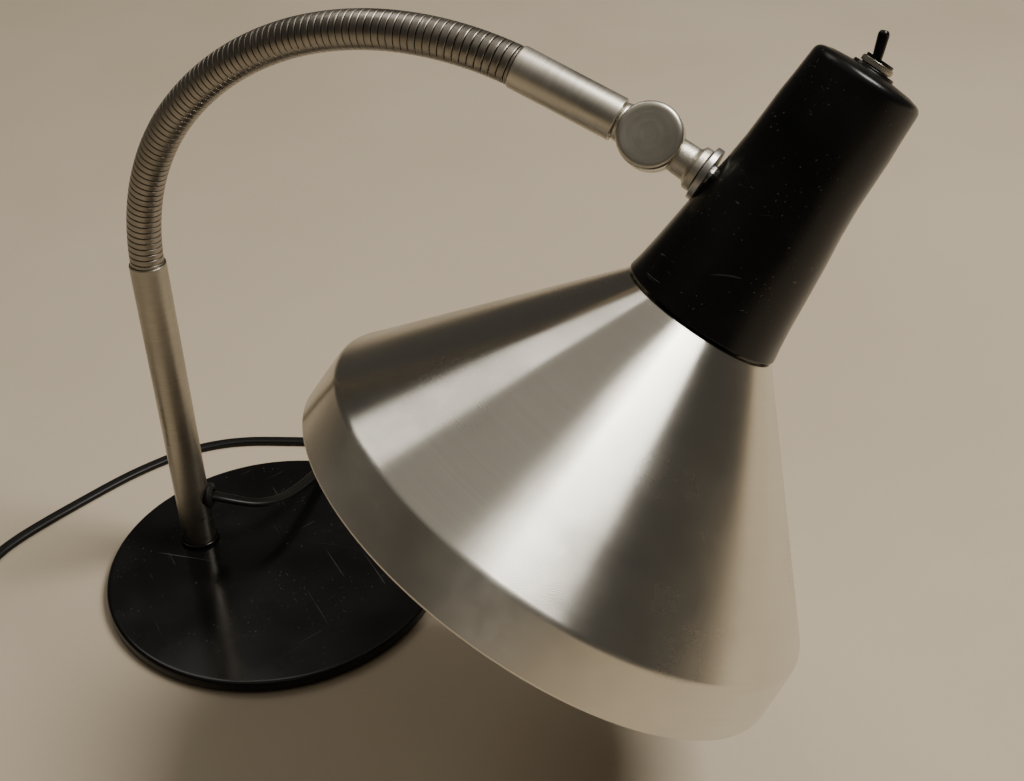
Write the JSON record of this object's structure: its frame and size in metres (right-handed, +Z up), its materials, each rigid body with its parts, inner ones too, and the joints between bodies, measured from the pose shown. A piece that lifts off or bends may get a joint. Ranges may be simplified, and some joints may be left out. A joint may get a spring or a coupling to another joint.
{
  "type": "desk lamp",
  "caption": "Gooseneck desk lamp with a round black base, steel stem, ribbed neck, black switch housing and a spun aluminium cone shade.",
  "frame": {"origin": "centre of the round base, on its underside (the felt)", "axes": "+Z up from the table, +X the way the gooseneck leans out over the table from the stem, +Y to the left of that"},
  "size_m": [0.5308, 0.2587, 0.3109],
  "materials": {
    "base_enamel": "gloss black stoved enamel, worn at the edge",
    "felt": "matt pressed felt",
    "nickel": "dull nickel plate, hairline scratched",
    "zinc": "zinc plated, satin",
    "spun_aluminium": "spun and brushed round its axis, lacquered",
    "phenolic": "satin black moulding",
    "rubber": "matt black",
    "pvc_flex": "semi-matt black PVC sheath",
    "brass": "satin brass",
    "opal_glass": "opal white",
    "steatite": "unglazed white"
  },
  "bodies": {
    "stand": {"base_plate": "base_enamel", "base_felt": "felt", "base_washer": "zinc", "base_nut": "zinc", "base_nipple": "zinc", "foot_ring": "nickel", "stem_tube": "nickel", "stem_foot_bush": "zinc", "stem_top_bush": "zinc", "cord_grommet": "rubber", "flex_in_stem": "pvc_flex", "neck_link_0": "nickel", "cord_run": "pvc_flex", "cord_coil": "pvc_flex", "cord_tie": "rubber", "cord_tail": "pvc_flex", "plug_boot": "rubber", "plug_body": "phenolic", "plug_pin_left": "brass", "plug_pin_right": "brass"},
    "neck_1": {"neck_link_1": "nickel"},
    "neck_2": {"neck_link_2": "nickel"},
    "neck_3": {"neck_link_3": "nickel"},
    "neck_4": {"neck_link_4": "nickel"},
    "neck_5": {"neck_link_5": "nickel"},
    "neck_6": {"neck_link_6": "nickel"},
    "arm_end": {"neck_link_7": "nickel", "sleeve_tube": "nickel", "sleeve_bush": "zinc", "flex_in_sleeve": "pvc_flex", "knuckle_rear": "nickel", "knuckle_screw": "zinc", "knuckle_spring_washer": "zinc"},
    "swivel_arm": {"knuckle_front": "nickel", "swivel_nipple": "zinc", "swivel_inner_washer": "zinc", "swivel_nut": "zinc", "flex_in_swivel": "pvc_flex"},
    "head": {"lamp_housing": "phenolic", "swivel_washer": "zinc", "shade": "spun_aluminium", "holder_bracket": "zinc", "holder_nipple": "zinc", "holder_nut": "zinc", "lampholder_cap": "phenolic", "lampholder_shoulder": "phenolic", "lampholder_skirt": "phenolic", "lampholder_ring": "phenolic", "screw_shell": "brass", "contact_carrier": "steatite", "centre_contact": "brass", "bulb_cap": "brass", "bulb_glass": "opal_glass", "switch_body": "phenolic", "switch_nut": "nickel", "switch_terminal_left": "brass", "switch_terminal_right": "brass", "switch_lead_left": "pvc_flex", "switch_lead_right": "pvc_flex"},
    "switch_lever": {"switch_lever": "phenolic"}
  },
  "joints": [
    {"name": "neck_bend_1", "type": "hinge", "parent": "stand", "child": "neck_1", "pos_m": [-0.04456, 0, 0.18895], "axis": [0, 1, 0], "range_deg": [-20, 3]},
    {"name": "neck_sway_1", "type": "hinge", "parent": "neck_1", "child": "neck_2", "pos_m": [-0.03299, 0, 0.22303], "axis": [-0.8881, 0, 0.4596], "range_deg": [-20, 20]},
    {"name": "neck_bend_2", "type": "hinge", "parent": "neck_2", "child": "neck_3", "pos_m": [-0.01185, 0, 0.25217], "axis": [0, 1, 0], "range_deg": [-20, 3]},
    {"name": "neck_bend_3", "type": "hinge", "parent": "neck_3", "child": "neck_4", "pos_m": [0.01631, 0, 0.27466], "axis": [0, 1, 0], "range_deg": [-20, 3]},
    {"name": "neck_sway_2", "type": "hinge", "parent": "neck_4", "child": "neck_5", "pos_m": [0.04908, 0, 0.28965], "axis": [-0.3018, 0, 0.9534], "range_deg": [-20, 20]},
    {"name": "neck_bend_4", "type": "hinge", "parent": "neck_5", "child": "neck_6", "pos_m": [0.08451, 0, 0.29625], "axis": [0, 1, 0], "range_deg": [-20, 3]},
    {"name": "neck_bend_5", "type": "hinge", "parent": "neck_6", "child": "arm_end", "pos_m": [0.12048, 0, 0.29406], "axis": [0, 1, 0], "range_deg": [-20, 3]},
    {"name": "knuckle_tilt", "type": "hinge", "parent": "arm_end", "child": "swivel_arm", "pos_m": [0.18952, 0, 0.27073], "axis": [0.1801, -0.8533, 0.4894], "range_deg": [-35, 75]},
    {"name": "head_swivel", "type": "hinge", "parent": "swivel_arm", "child": "head", "pos_m": [0.212, -0.00147, 0.25989], "axis": [0.8993, -0.0588, -0.4333], "range_deg": [-150, 150]},
    {"name": "switch_toggle", "type": "hinge", "parent": "head", "child": "switch_lever", "pos_m": [0.26015, 0.01971, 0.2981], "axis": [-0.1159, 0.9234, -0.3658], "range_deg": [0, 40]}
  ]
}
